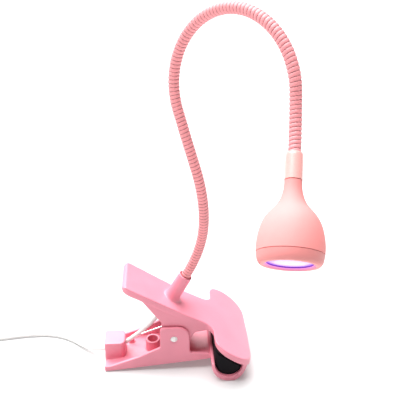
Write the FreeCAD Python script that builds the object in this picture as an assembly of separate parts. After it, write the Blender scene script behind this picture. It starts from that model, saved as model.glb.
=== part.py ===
import FreeCAD, Part
import math
import os

from FreeCAD import Rotation, Vector

# Clip-on ultraviolet nail lamp: a spring clip, a gooseneck and a lamp head, fed by a USB cord.
# X runs along the clip towards its jaws, Y across it, Z up from the surface that it stands on.
# Everything is drawn about the clip's hinge pin (x = 0, y = 0) and moved at the end, so that the
# origin lies at the middle of the lamp's box without its cord. Lengths are in millimetres.

# ---- driving dimensions ----
PIVOT_Z = 28.0            # hinge pin above the table
TAIL_X = -52.5            # end of the lower lever
LEVER_SLOPE = 28.4        # degrees, fall of the upper lever towards the jaws
TAIL_SLOPE = 32.3         # degrees, the same on its tail, behind the bend
TAIL_BEND_X = 8.0
LEVER_TOP_Z = 53.0        # the lever's top line, carried on from the jaws to x = 0
UPPER_HALF = 15.2         # half width of the upper lever
TAIL_HALF = 17.6          # half width at the end of its tail
LOWER_HALF = 17.9         # half width of the lower lever
UPPER_JAW_HALF = 38.4
LOWER_JAW_HALF = 33.0
JAW_FRONT_X = 56.0
PIN_RADIUS = 2.0
HOSE_RADIUS = 3.6
HOSE_BORE_RADIUS = 2.5
HEAD_RADIUS = 17.8
CORD_RADIUS = 1.6
GAP = 0.3                 # clearance between pieces on different bodies
FIT = 0.05                # radial clearance of a running fit

# Gooseneck arcs from the clip to the head: length, turn in the clip's own plane, turn sideways.
# A positive turn bends the hose forwards and down; a positive sideways turn bends it to the back.
NECK_ARCS = [
    (44.0, -24.0, 13.0),
    (50.5, -21.5, -19.0),
    (39.0, -1.0, -11.5),
    (48.0, 49.0, 25.5),
    (53.0, 55.1, 41.9),
    (54.4, 58.5, 38.8),
    (33.35, -30.3, 14.9),
]
NECK_LEAN = 3.6           # degrees, sideways lean of the socket's axis
HINGE_AXES = ["own", "side", "own", "side", "own", "side"]

# Cord route on the table, hinge pin at x = 0, y = 0.
LEAD_ROUTE = [
    (-52.5, 0.0, 8.0),
    (-60.5, 1.6, 5.6),
    (-70.0, 9.0, 3.2),
    (-82.0, 20.4, 1.8),
    (-97.0, 27.0, 1.6),
    (-116.0, 27.6, 1.6),
    (-135.0, 24.6, 1.6),
    (-152.0, 23.8, 1.6),
    (-167.0, 25.0, 1.6),
]
COIL_CENTRE = (-167.0, -2.2)
COIL_INNER = 9.6
COIL_OUTER = 28.8
COIL_LAYERS = 2
TAIL_ROUTE = [
    (-194.2, -2.2, 4.8),
    (-194.6, -11.4, 4.7),
    (-194.0, -21.4, 4.6),
    (-194.2, -29.8, 4.6),
]
SWITCH_CENTRE = (-194.2, -44.8, 4.6)
SWITCH_LENGTH = 30.0
PLUG_ROUTE = [
    (-194.2, -59.8, 4.6),
    (-194.0, -67.8, 3.2),
    (-191.0, -78.3, 1.7),
    (-182.0, -86.3, 1.7),
    (-170.0, -88.8, 2.6),
    (-160.0, -88.8, 4.0),
]


# ---- helpers ----
def corner_arc(before, corner, after, radius):
    """Start, middle and end of the arc that rounds a corner."""
    back = (before - corner).normalize()
    ahead = (after - corner).normalize()
    half = back.getAngle(ahead) / 2
    reach = radius / math.tan(half)
    bisector = (back + ahead).normalize()
    start = corner + back * reach
    end = corner + ahead * reach
    middle = corner + bisector * (radius / math.sin(half) - radius)
    return start, middle, end


def rounded_wire(points, radii, closed=True):
    """Straight runs through the points, with each corner rounded to its radius."""
    count = len(points)
    edges, last, first = [], None, None
    for i, point in enumerate(points):
        inner = closed or 0 < i < count - 1
        if inner and radii[i] > 0:
            before, after = points[i - 1], points[(i + 1) % count]
            start, middle, end = corner_arc(before, point, after, radii[i])
        else:
            start = end = point
        if last is not None and (start - last).Length > 1e-6:
            edges.append(Part.LineSegment(last, start).toShape())
        if end is not start:
            edges.append(Part.Arc(start, middle, end).toShape())
        first = start if first is None else first
        last = end
    if closed and (first - last).Length > 1e-6:
        edges.append(Part.LineSegment(last, first).toShape())
    return Part.Wire(edges)


def side_profile(outline, low_y, high_y):
    """A solid with an outline of (x, z, corner radius) drawn from the side, between two widths."""
    points = [Vector(x, low_y, z) for x, z, _ in outline]
    wire = rounded_wire(points, [r for _, _, r in outline])
    return Part.Face(wire).extrude(Vector(0, high_y - low_y, 0))


def plan_profile(outline, low_z, high_z):
    """A solid with an outline of (x, y, corner radius) drawn from above, between two heights."""
    points = [Vector(x, y, low_z) for x, y, _ in outline]
    wire = rounded_wire(points, [r for _, _, r in outline])
    return Part.Face(wire).extrude(Vector(0, 0, high_z - low_z))


def rod(start, axis, length, radius):
    return Part.makeCylinder(radius, length, start, axis)


def across(x, z, half, radius):
    """A rod along Y through (x, z), reaching half to each side."""
    return rod(Vector(x, -half, z), Vector(0, 1, 0), 2 * half, radius)


def turned(profile, at=Vector(0, 0, 0), axis=Vector(0, 0, 1)):
    """A solid of revolution from (radius, distance) points, stood along an axis."""
    points = [Vector(r, 0, t) for r, t in profile]
    points.append(points[0])
    face = Part.Face(Part.makePolygon(points))
    solid = face.revolve(Vector(0, 0, 0), Vector(0, 0, 1), 360)
    solid.Placement = FreeCAD.Placement(at, Rotation(Vector(0, 0, 1), axis))
    return solid


def curved_turned(curve_edges, at, axis):
    """A solid of revolution from a closed loop of edges drawn in the (radius, distance) plane."""
    face = Part.Face(Part.Wire(curve_edges))
    solid = face.revolve(Vector(0, 0, 0), Vector(0, 0, 1), 360)
    solid.Placement = FreeCAD.Placement(at, Rotation(Vector(0, 0, 1), axis))
    return solid


def route_tube(route, radius, name):
    """A cord along a route: straight runs joined by arcs as large as the runs allow."""
    points = [Vector(*p) for p in route]
    radii = [0.0] * len(points)
    for i in range(1, len(points) - 1):
        back, ahead = points[i - 1] - points[i], points[i + 1] - points[i]
        turn = math.pi - back.getAngle(ahead)
        radii[i] = 0.45 * min(back.Length, ahead.Length) / math.tan(turn / 2)
    print(name, "bend radii", [round(r, 1) for r in radii[1:-1]])
    path = rounded_wire(points, radii, closed=False)
    section = Part.Circle(points[0], points[1] - points[0], radius).toShape()
    tube = path.makePipeShell([Part.Wire(section)], True, True)
    expected = math.pi * radius**2 * path.Length
    print(name, "length", round(path.Length, 1), "volume share", round(tube.Volume / expected, 4))
    return tube, path.Length


# ---- upper lever's top line and the directions that follow from it ----
SLOPE = math.radians(LEVER_SLOPE)
ALONG = Vector(math.cos(SLOPE), 0, -math.sin(SLOPE))
NORMAL = Vector(math.sin(SLOPE), 0, math.cos(SLOPE))
SOCKET_FOOT = Vector(-0.6, 0, 54.42)
LEVER_THICK = 4.4
JAW_THICK = 4.5
JAW_BEND_X = 22.0         # where the jaw plate starts to curve down
JAW_BEND_RADIUS = 185.0
UPPER_TAIL_X = -34.8
TAIL_CORNER = 6.0


def lever_top(x):
    """Height of the upper lever's top face, which is steeper on the tail."""
    behind = max(TAIL_BEND_X - x, 0)
    ahead = max(x, TAIL_BEND_X)
    return LEVER_TOP_Z - ahead * math.tan(SLOPE) + behind * math.tan(math.radians(TAIL_SLOPE))


def jaw_angle(x):
    """The angle along the jaw's curve at which its top face reaches x."""
    return math.asin((x - JAW_BEND_X + NORMAL.x * JAW_BEND_RADIUS) / JAW_BEND_RADIUS)


def on_jaw_curve(depth, angle):
    """A point under the jaw's top face: its depth below the face and its angle along the curve."""
    bend = Vector(JAW_BEND_X, 0, lever_top(JAW_BEND_X))
    centre = bend - NORMAL * JAW_BEND_RADIUS
    radius = JAW_BEND_RADIUS - depth
    return Vector(centre.x + radius * math.sin(angle), 0, centre.z + radius * math.cos(angle))


def curved_plate(top, bottom, first, last, half):
    """A plate that follows the jaw's curve, between two depths and two angles."""
    middle = (first + last) / 2
    upper = [on_jaw_curve(top, angle) for angle in (first, middle, last)]
    lower = [on_jaw_curve(bottom, angle) for angle in (last, middle, first)]
    edges = [
        Part.Arc(*upper).toShape(),
        Part.LineSegment(upper[-1], lower[0]).toShape(),
        Part.Arc(*lower).toShape(),
        Part.LineSegment(lower[-1], upper[0]).toShape(),
    ]
    face = Part.Face(Part.Wire(edges))
    face.translate(Vector(0, -half, 0))
    return face.extrude(Vector(0, 2 * half, 0))


JAW_CORNER = 15.0
JAW_REAR_X = 29.2
JAW_REAR_CORNER = 10.0
ROOT_RADIUS = 7.0         # hollow corner between the lever and the jaw's rear edge
ABOVE_ALL = 90.0          # higher than the clip


def jaw_plan():
    """The shovel outline from above: a lever strip that widens into a rounded jaw."""
    jaw = [
        (JAW_REAR_X, -UPPER_JAW_HALF, JAW_REAR_CORNER),
        (JAW_FRONT_X, -UPPER_JAW_HALF, JAW_CORNER),
        (JAW_FRONT_X + 0.8, 0, 200),
        (JAW_FRONT_X, UPPER_JAW_HALF, JAW_CORNER),
        (JAW_REAR_X, UPPER_JAW_HALF, JAW_REAR_CORNER),
    ]
    strip = [
        (-10, -UPPER_HALF, 0),
        (JAW_REAR_X + 4, -UPPER_HALF, 0),
        (JAW_REAR_X + 4, UPPER_HALF, 0),
        (-10, UPPER_HALF, 0),
    ]
    body = plan_profile(jaw, 0, ABOVE_ALL).fuse(plan_profile(strip, 0, ABOVE_ALL))
    for side in (-1, 1):
        body = body.fuse(root_fillet(side))
    return body.removeSplitter()


def root_fillet(side):
    """The hollow corner where the lever's side runs out into the jaw's rear edge."""
    on_strip = Vector(JAW_REAR_X - ROOT_RADIUS, side * UPPER_HALF, 0)
    on_jaw = Vector(JAW_REAR_X, side * (UPPER_HALF + ROOT_RADIUS), 0)
    reach = ROOT_RADIUS * math.sqrt(0.5)
    middle = Vector(on_strip.x + reach, on_jaw.y - side * reach, 0)
    inside = [
        Vector(JAW_REAR_X + 1, on_jaw.y, 0),
        Vector(JAW_REAR_X + 1, side * (UPPER_HALF - 1), 0),
        Vector(on_strip.x, side * (UPPER_HALF - 1), 0),
    ]
    corners = [on_jaw] + inside + [on_strip]
    edges = [Part.Arc(on_strip, middle, on_jaw).toShape()]
    for start, end in zip(corners, corners[1:]):
        edges.append(Part.LineSegment(start, end).toShape())
    return Part.Face(Part.Wire(edges)).extrude(Vector(0, 0, ABOVE_ALL))


# ---- clip ----
BLOCK_HALF = 8.2
BLOCK_FRONT_X = -37.0
BLOCK_TOP_Z = 18.3
BOSS_X = -16.0
BOSS_TOP_Z = 15.9
BOSS_RADIUS = 5.6
BOSS_WELL_RADIUS = 3.9
SCREW_HOLE_RADIUS = 2.1
WELL_FLOOR = 2.4
FLOOR_THICK = 3.0
EAR_THICK = 2.4
EAR_TOP_Z = 38.3
LEVER_RISE = 8.4          # underside of the lower lever where it meets the jaw
LEVER_END_X = 24.0
HOOK_CENTRE = (40.8, 13.9)
HOOK_RADIUS = 13.9
HOLLOW_CENTRE = (39.7, 14.7)   # of the hook's inside, which leaves its rear wall thinner
HOLLOW_RADIUS = 10.4
REAR_WALL_TOP = 15.6


def lower_underside(x):
    return (x - TAIL_X) / (LEVER_END_X - TAIL_X) * LEVER_RISE


def lower_side_wall(low_y, high_y):
    outline = [
        (TAIL_X, 0.0, 0.8),
        (LEVER_END_X, LEVER_RISE, 0),
        (LEVER_END_X + 3.5, LEVER_RISE + 4.0, 0),
        (LEVER_END_X + 1.0, LEVER_RISE + 5.6, 0),
        (11.7, 15.2, 2.0),
        (11.7, EAR_TOP_Z, 9.0),
        (-10.3, EAR_TOP_Z, 3.0),
        (-10.3, 20.6, 2.0),
        (-26.0, 12.9, 20.0),
        (-48.0, 4.8, 2.0),
        (TAIL_X, 4.6, 0.8),
    ]
    return side_profile(outline, low_y, high_y)


def hook_profile():
    """The lower jaw from the side: a J that drops behind the lever and curls up to its tip."""
    first, last = math.radians(180), math.radians(352.5)
    middle = (first + last) / 2

    def at(centre, radius, angle):
        return Vector(centre[0] + radius * math.cos(angle), 0, centre[1] + radius * math.sin(angle))

    outer_arc = [at(HOOK_CENTRE, HOOK_RADIUS, a) for a in (first, middle, last)]
    inner_arc = [at(HOLLOW_CENTRE, HOLLOW_RADIUS, a) for a in (last, middle, first)]
    rear_top = Vector(outer_arc[0].x, 0, REAR_WALL_TOP)
    rear_inner = Vector(inner_arc[2].x, 0, REAR_WALL_TOP)
    edges = [
        Part.Arc(*outer_arc).toShape(),
        Part.LineSegment(outer_arc[2], inner_arc[0]).toShape(),
        Part.Arc(*inner_arc).toShape(),
        Part.LineSegment(inner_arc[2], rear_inner).toShape(),
        Part.LineSegment(rear_inner, rear_top).toShape(),
        Part.LineSegment(rear_top, outer_arc[0]).toShape(),
    ]
    return Part.Face(Part.Wire(edges))


def lower_jaw_shell():
    face = hook_profile()
    face.translate(Vector(0, -LOWER_JAW_HALF, 0))
    hook = face.extrude(Vector(0, 2 * LOWER_JAW_HALF, 0))
    plan = [
        (25.0, -LOWER_JAW_HALF, 7),
        (56.0, -LOWER_JAW_HALF, 14),
        (56.0, LOWER_JAW_HALF, 14),
        (25.0, LOWER_JAW_HALF, 7),
    ]
    return hook.common(plan_profile(plan, -1, 40))


def cable_block():
    """The block on the tail that holds the cable, with its sloping bore."""
    outline = [
        (TAIL_X, -BLOCK_HALF, 1.0),
        (BLOCK_FRONT_X, -BLOCK_HALF, 4.0),
        (BLOCK_FRONT_X, BLOCK_HALF, 4.0),
        (TAIL_X, BLOCK_HALF, 1.0),
    ]
    return plan_profile(outline, 2.0, BLOCK_TOP_Z)


CORD_EXIT = Vector(*LEAD_ROUTE[0])
BLOCK_BEND = Vector(-43.5, 0, 8.2)     # where the cable turns up inside the block
CABLE_RISE = Vector(17.0, 0.4, 12.4)   # direction of the cable as it leaves the block


def make_lower_lever():
    floor = side_profile(
        [
            (TAIL_X, 0.0, 0.8),
            (LEVER_END_X, LEVER_RISE, 0),
            (LEVER_END_X + 4.0, LEVER_RISE + 1.0, 0),
            (LEVER_END_X + 4.0, LEVER_RISE + 1.0 + FLOOR_THICK, 0),
            (LEVER_END_X, LEVER_RISE + FLOOR_THICK, 0),
            (TAIL_X, FLOOR_THICK, 0.8),
        ],
        -LOWER_HALF,
        LOWER_HALF,
    )
    body = floor
    for low in (-LOWER_HALF, LOWER_HALF - EAR_THICK):
        body = body.fuse(lower_side_wall(low, low + EAR_THICK))
    body = body.fuse(lower_jaw_shell())
    body = body.fuse(cable_block()).fuse(spring_seat())
    foot = lower_underside(BOSS_X) + 1.0
    boss = rod(Vector(BOSS_X, 0, foot), Vector(0, 0, 1), BOSS_TOP_Z - foot, BOSS_RADIUS)
    body = body.fuse(boss)
    well_floor = lower_underside(BOSS_X) + WELL_FLOOR
    up = Vector(0, 0, 1)
    body = body.cut(rod(Vector(BOSS_X, 0, well_floor), up, 20, BOSS_WELL_RADIUS))
    body = body.cut(rod(Vector(BOSS_X, 0, -1), up, 20, SCREW_HOLE_RADIUS))
    body = body.cut(across(0, PIVOT_Z, 30, PIN_RADIUS + FIT / 2))
    for sign in (-1, 1):
        recess = Vector(0, sign * (LOWER_HALF - PIN_RECESS_DEPTH), PIVOT_Z)
        body = body.cut(rod(recess, Vector(0, sign, 0), 5, PIN_RECESS_RADIUS))
    tail_bore = BLOCK_BEND - CORD_EXIT
    body = body.cut(rod(CORD_EXIT - tail_bore * 0.2, tail_bore, tail_bore.Length * 1.2, CORD_RADIUS + FIT))
    body = body.cut(rod(BLOCK_BEND, CABLE_RISE, 20.0, CORD_RADIUS + FIT))
    return body.removeSplitter()


PIN_HEAD_RADIUS = 2.6
PIN_HEAD_HEIGHT = 1.3
PIN_RECESS_RADIUS = 3.3
PIN_RECESS_DEPTH = 0.6


def make_hinge_pin():
    """A steel rivet with a domed head in a shallow recess outside each ear."""
    shank = across(0, PIVOT_Z, LOWER_HALF - PIN_RECESS_DEPTH, PIN_RADIUS)
    for sign in (-1, 1):
        axis = Vector(0, sign, 0)
        foot = Vector(0, sign * (LOWER_HALF - PIN_RECESS_DEPTH), PIVOT_Z)
        ball = (PIN_HEAD_RADIUS**2 + PIN_HEAD_HEIGHT**2) / (2 * PIN_HEAD_HEIGHT)
        dome = Part.makeSphere(ball, foot + axis * (PIN_HEAD_HEIGHT - ball))
        dome = dome.common(rod(foot, axis, PIN_HEAD_HEIGHT, PIN_HEAD_RADIUS))
        shank = shank.fuse(dome)
    return shank.removeSplitter()


SPRING_WIRE = 0.8
SPRING_RADIUS = 4.9       # middle of the wire in the winding
SPRING_HALF = 10.4
SPRING_WALL = 0.95        # half the thickness of the sleeve that stands for the winding
SPRING_LEG_Y = 9.4        # the lower leg lies on one side, the upper leg on the other
LOWER_LEG_X = -34.5
LOWER_LEG_FALL = 21.6     # degrees
SEAT_LENGTH = 4.0


def lower_leg_z(x):
    """Height of the lower leg, which leaves the winding's underside in line with its wire."""
    fall = math.radians(LOWER_LEG_FALL)
    return PIVOT_Z - SPRING_RADIUS / math.cos(fall) + x * math.tan(fall)


def make_clip_spring():
    """The torsion spring: its winding round the pin, one leg to each lever."""
    winding = across(0, PIVOT_Z, SPRING_HALF, SPRING_RADIUS + SPRING_WALL)
    winding = winding.cut(across(0, PIVOT_Z, SPRING_HALF + 1, SPRING_RADIUS - SPRING_WALL))
    leave_x = SPRING_RADIUS * math.sin(math.radians(LOWER_LEG_FALL))
    upper_end_x = -22.0
    under_lever = lever_top(upper_end_x) - LEVER_THICK / math.cos(SLOPE) - 2.4
    legs = [
        [Vector(x, SPRING_LEG_Y, lower_leg_z(x)) for x in (leave_x, LOWER_LEG_X)],
        [Vector(-4.4, -SPRING_LEG_Y, PIVOT_Z + 2.2), Vector(upper_end_x, -SPRING_LEG_Y, under_lever)],
    ]
    spring = winding
    for start, end in legs:
        spring = spring.fuse(rod(start, end - start, (end - start).Length, SPRING_WIRE))
    return spring.removeSplitter()


def spring_seat():
    """The rib on the lower lever's floor that the spring's lower leg rests on."""
    rear, front = LOWER_LEG_X - 0.5, LOWER_LEG_X - 0.5 + SEAT_LENGTH
    rest = (SPRING_WIRE + FIT) / math.cos(math.radians(LOWER_LEG_FALL))
    outline = [
        (rear, lower_underside(rear) + 1.0, 0),
        (front, lower_underside(front) + 1.0, 0),
        (front, lower_leg_z(front) - rest, 0),
        (rear, lower_leg_z(rear) - rest, 0),
    ]
    return side_profile(outline, SPRING_LEG_Y - 1.5, SPRING_LEG_Y + 1.5)


def web_plate(low_y, high_y):
    outline = [
        (-25.4, lever_top(-25.4) - 4.6, 0),
        (-8.8, 41.1, 3.0),
        (-9.6, 21.5, 5.0),
        (10.0, 20.6, 4.0),
        (15.4, 32.0, 4.0),
        (27.5, 33.6, 0),
        (27.5, lever_top(27.5) - 2.5, 0),
    ]
    return side_profile(outline, low_y, high_y)


WEB_OUTER = 15.2
WEB_THICK = 2.5
SOCKET_LENGTH = 22.0
SOCKET_RADIUS = 5.4
SOCKET_TOP_RADIUS = 5.1
SOCKET_BORE = 4.3


def tail_plan():
    """The upper lever's tail from above, which widens to its two rounded corners."""
    end = UPPER_TAIL_X - 2.0
    outline = [
        (end, -TAIL_HALF, TAIL_CORNER),
        (TAIL_BEND_X, -UPPER_HALF, 40.0),
        (60, -UPPER_HALF, 0),
        (60, UPPER_HALF, 0),
        (TAIL_BEND_X, UPPER_HALF, 40.0),
        (end, TAIL_HALF, TAIL_CORNER),
    ]
    return plan_profile(outline, 0, ABOVE_ALL)


def make_upper_lever():
    """The upper lever: tail, socket for the gooseneck, two webs on the pin and the curved jaw."""
    under = LEVER_THICK / math.cos(math.radians(TAIL_SLOPE))
    tail = side_profile(
        [
            (UPPER_TAIL_X - 1.6, lever_top(UPPER_TAIL_X) - 2.6, 0.8),
            (UPPER_TAIL_X + 1.4, lever_top(UPPER_TAIL_X + 1.4), 1.0),
            (TAIL_BEND_X, lever_top(TAIL_BEND_X), 80.0),
            (JAW_BEND_X, lever_top(JAW_BEND_X), 0),
            (JAW_BEND_X - 1.8, lever_top(JAW_BEND_X) - LEVER_THICK * math.cos(SLOPE), 0),
            (TAIL_BEND_X - 1.0, lever_top(TAIL_BEND_X - 1.0) - under, 80.0),
            (UPPER_TAIL_X - 0.8, lever_top(UPPER_TAIL_X) - under - 0.4, 0.8),
        ],
        -TAIL_HALF,
        TAIL_HALF,
    )
    tail = tail.common(tail_plan())
    last = jaw_angle(JAW_FRONT_X + 1.5)
    jaw = curved_plate(0, JAW_THICK, SLOPE - 0.012, last, UPPER_JAW_HALF + 1)
    jaw = jaw.common(jaw_plan())
    body = tail.fuse(jaw)
    for low in (-WEB_OUTER, WEB_OUTER - WEB_THICK):
        body = body.fuse(web_plate(low, low + WEB_THICK))
    foot = SOCKET_FOOT - SOCKET_AXIS * 2.0
    sleeve = turned(
        [
            (0, 0),
            (SOCKET_RADIUS + 1.8, 0),
            (SOCKET_RADIUS + 1.8, 1.5),
            (SOCKET_RADIUS + 0.9, 2.6),
            (SOCKET_RADIUS + 0.3, 4.2),
            (SOCKET_RADIUS, 6.4),
            (SOCKET_TOP_RADIUS, SOCKET_LENGTH + 1.5),
            (SOCKET_TOP_RADIUS - 0.5, SOCKET_LENGTH + 2.0),
            (0, SOCKET_LENGTH + 2.0),
        ],
        foot,
        SOCKET_AXIS,
    )
    body = body.fuse(sleeve)
    body = body.cut(rod(SOCKET_FOOT - SOCKET_AXIS * 12, SOCKET_AXIS, 50, SOCKET_BORE))
    body = body.cut(across(0, PIVOT_Z, 30, PIN_RADIUS + FIT))
    return body.removeSplitter()


PAD_REAR_X = 30.5         # on the jaw's top face, above the pads' rear edge
PAD_FRONT_INSET = 6.8
PAD_LIP = 3.8             # how far the upper pad's thin front lip runs on
PAD_LIP_THICK = 1.2
PAD_SIDE_INSET = 2.2
UPPER_PAD_THICK = 5.0


PAD_REAR_CORNER = 4.0
PAD_FRONT_CORNER = 9.0


def pad_plan(lip=0.0):
    """The outline of the pads from above, with the length of the front lip if it is given."""
    half, front = LOWER_JAW_HALF - PAD_SIDE_INSET, JAW_FRONT_X - PAD_FRONT_INSET + lip
    rear = JAW_REAR_X + 0.2
    outline = [
        (rear, -half, PAD_REAR_CORNER),
        (front, -half, PAD_FRONT_CORNER),
        (front, half, PAD_FRONT_CORNER),
        (rear, half, PAD_REAR_CORNER),
    ]
    return plan_profile(outline, 0, ABOVE_ALL)


def make_upper_pad():
    """The black rubber pad glued under the upper jaw."""
    first, last = jaw_angle(PAD_REAR_X), jaw_angle(JAW_FRONT_X)
    pad = curved_plate(JAW_THICK, JAW_THICK + UPPER_PAD_THICK, first, last, UPPER_JAW_HALF)
    lip = curved_plate(JAW_THICK, JAW_THICK + PAD_LIP_THICK, first, last, UPPER_JAW_HALF)
    return pad.common(pad_plan()).fuse(lip.common(pad_plan(PAD_LIP))).removeSplitter()


def make_lower_pad():
    """The black rubber pad that fills the lower jaw up to the upper pad."""
    cx, cz = HOLLOW_CENTRE
    left = Vector(cx - HOLLOW_RADIUS, 0, cz)
    bottom = Vector(cx, 0, cz - HOLLOW_RADIUS)
    right = Vector(cx + HOLLOW_RADIUS, 0, cz)
    top_z = cz + 16.0
    outline = [
        right,
        Vector(JAW_FRONT_X, 0, cz + 0.2),
        Vector(JAW_FRONT_X, 0, top_z),
        Vector(PAD_REAR_X - 2.6, 0, top_z),
        Vector(left.x, 0, REAR_WALL_TOP),
        left,
    ]
    edges = [Part.Arc(left, bottom, right).toShape()]
    for start, end in zip(outline, outline[1:]):
        edges.append(Part.LineSegment(start, end).toShape())
    face = Part.Face(Part.Wire(edges))
    face.translate(Vector(0, -LOWER_JAW_HALF, 0))
    pad = face.extrude(Vector(0, 2 * LOWER_JAW_HALF, 0)).common(pad_plan(PAD_LIP))
    depth = JAW_THICK + UPPER_PAD_THICK + GAP
    above = curved_plate(-60.0, depth, SLOPE - 0.4, jaw_angle(JAW_FRONT_X) + 0.3, UPPER_JAW_HALF)
    return pad.cut(above)


# ---- gooseneck ----
class Frame:
    """A point that travels along the gooseneck with its direction and two cross directions."""

    def __init__(self, point, along, side, back):
        self.point, self.along, self.side, self.back = point, along, side, back

    def bend_axis(self, turn, sideways):
        return (self.side * turn + self.back * sideways).normalize()

    def after(self, length, turn, sideways):
        angle = math.hypot(turn, sideways)
        axis = self.bend_axis(turn, sideways)
        radius = length / math.radians(angle)
        to_centre = axis.cross(self.along)
        centre = self.point + to_centre * radius
        spin = Rotation(axis, angle)
        point = centre + spin.multVec(self.point - centre)
        along, side, back = [spin.multVec(v) for v in (self.along, self.side, self.back)]
        return Frame(point, along, side, back)

    def moved(self, offset):
        return Frame(self.point + offset, self.along, self.side, self.back)

    def middle_of(self, length, turn, sideways):
        return self.after(length / 2, turn / 2, sideways / 2).point


def socket_frame():
    """The frame at the socket's foot: square to the upper lever, leaning a little to one side."""
    back = Vector(0, 1, 0).cross(NORMAL)
    lean = Rotation(back, NECK_LEAN)
    return Frame(SOCKET_FOOT, lean.multVec(NORMAL), lean.multVec(Vector(0, 1, 0)), back)


SOCKET_FRAME = socket_frame()
SOCKET_AXIS = SOCKET_FRAME.along


def neck_frames():
    """The frame at the start of each arc and at the end of the last one."""
    frames = [SOCKET_FRAME.moved(SOCKET_AXIS * SOCKET_LENGTH)]
    for length, turn, sideways in NECK_ARCS:
        frames.append(frames[-1].after(length, turn, sideways))
    return frames


FRAMES = neck_frames()
BALL_RADIUS = HOSE_RADIUS + 0.1
SOCKET_BALL = BALL_RADIUS + GAP
HOSE_STUB = 8.0
HINGE_POINTS = [frame.point for frame in FRAMES[1:-1]]


def hinge_axis(index):
    """Each hinge bends either in the plane of the arc beyond it or square to that plane."""
    frame = FRAMES[index + 1]
    _, turn, sideways = NECK_ARCS[index + 1]
    own = frame.bend_axis(turn, sideways)
    return own if HINGE_AXES[index] == "own" else frame.along.cross(own).normalize()


HINGE_DIRECTIONS = [hinge_axis(i) for i in range(len(HINGE_POINTS))]


def arc_rod(index, radius, trim=0.0):
    """A round rod along one arc of the gooseneck, shortened at both ends by trim."""
    length, turn, sideways = NECK_ARCS[index]
    share = trim / length
    start = FRAMES[index].after(trim, turn * share, sideways * share) if trim else FRAMES[index]
    left = 1 - 2 * share
    middle = start.middle_of(length * left, turn * left, sideways * left)
    end = start.after(length * left, turn * left, sideways * left)
    path = Part.Wire([Part.Arc(start.point, middle, end.point).toShape()])
    section = Part.Wire([Part.Circle(start.point, start.along, radius).toShape()])
    return path.makePipeShell([section], True, True)


def make_neck_section(index):
    """One arc of the steel hose. Its ball end faces the head and its cup faces the clip."""
    last = len(NECK_ARCS) - 1
    section = arc_rod(index, HOSE_RADIUS)
    start, end = FRAMES[index], FRAMES[index + 1]
    bore = arc_rod(index, HOSE_BORE_RADIUS)
    if index == 0:
        stub = start.point - start.along * (HOSE_STUB + 6)
        section = section.fuse(rod(stub, start.along, HOSE_STUB + 6, HOSE_RADIUS))
        bore = bore.fuse(rod(stub, start.along, HOSE_STUB + 6, HOSE_BORE_RADIUS))
    else:
        section = section.cut(Part.makeSphere(SOCKET_BALL, start.point))
    if index == last:
        section = section.fuse(rod(end.point, end.along, HOSE_STUB, HOSE_RADIUS))
        bore = bore.fuse(rod(end.point, end.along, HOSE_STUB, HOSE_BORE_RADIUS))
    else:
        ball = Part.makeSphere(BALL_RADIUS, end.point)
        nose = rod(end.point, end.along, BALL_RADIUS + 1, HOSE_RADIUS).common(ball)
        section = section.fuse(nose)
        bore = bore.fuse(rod(end.point, end.along, BALL_RADIUS + 1, HOSE_BORE_RADIUS))
    return section.cut(bore).removeSplitter()


def make_neck_wires(index):
    """The pair of lamp wires inside one arc of the hose."""
    return arc_rod(index, 1.2, trim=1.2)


FITTING_BELOW = 9.0
FITTING_TOP = 13.0


def make_hose_fitting():
    """The threaded steel sleeve crimped on the hose's end and passed through the lever."""
    return turned(
        [
            (HOSE_RADIUS, -FITTING_BELOW),
            (SOCKET_BORE, -FITTING_BELOW),
            (SOCKET_BORE, FITTING_TOP),
            (HOSE_RADIUS, FITTING_TOP),
        ],
        SOCKET_FOOT,
        SOCKET_AXIS,
    )


def hexagon(across_flats, thick, foot, axis, bore):
    points = [
        Vector(across_flats / math.sqrt(3) * math.cos(a), across_flats / math.sqrt(3) * math.sin(a), 0)
        for a in [math.radians(60 * k) for k in range(6)]
    ]
    nut = Part.Face(Part.makePolygon(points + points[:1])).extrude(Vector(0, 0, thick))
    nut = nut.cut(Part.makeCylinder(bore, thick * 3, Vector(0, 0, -thick)))
    nut.Placement = FreeCAD.Placement(foot, Rotation(Vector(0, 0, 1), axis))
    return nut


def make_hose_nut():
    thick = 2.4
    lean_room = 2.1
    foot = SOCKET_FOOT - SOCKET_AXIS * (LEVER_THICK + thick + lean_room)
    return hexagon(12.0, thick, foot, SOCKET_AXIS, SOCKET_BORE)


def make_clip_cable():
    """The lead from the block on the tail up into the gooseneck's fitting."""
    end = SOCKET_FOOT - SOCKET_AXIS * (FITTING_BELOW - 2.0)
    route = [
        tuple(BLOCK_BEND + CABLE_RISE * 0.05),
        tuple(BLOCK_BEND + CABLE_RISE * 1.05),
        (-11.4, 0.2, 36.4),
        tuple(end),
    ]
    return route_tube(route, CORD_RADIUS, "clip_cable")


# ---- lamp head, drawn along its own axis from the collar's top towards the lens ----
HEAD_AXIS = FRAMES[-1].along
HEAD_AT = FRAMES[-1].point
COLLAR_LENGTH = 15.4
COLLAR_RADIUS = 4.8
SHELL_START = 15.9
SEAM_AT = 55.0
BEZEL_END = 61.2
LENS_RADIUS = 12.6
OPENING_RADIUS = 12.0
OPENING_BEVEL = 1.3        # across and along the axis
LENS_SEAT = 1.7            # the lens's ledge, behind the bezel's face
WALL = 1.6


def edge_loop(pieces):
    """Edges from a list of point lists: two points make a line, more make a smooth curve."""
    edges = []
    for piece in pieces:
        points = [Vector(r, 0, t) for r, t in piece]
        if len(points) == 2:
            edges.append(Part.LineSegment(*points).toShape())
        else:
            curve = Part.BSplineCurve()
            curve.interpolate(points)
            edges.append(curve.toShape())
    return edges


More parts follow.
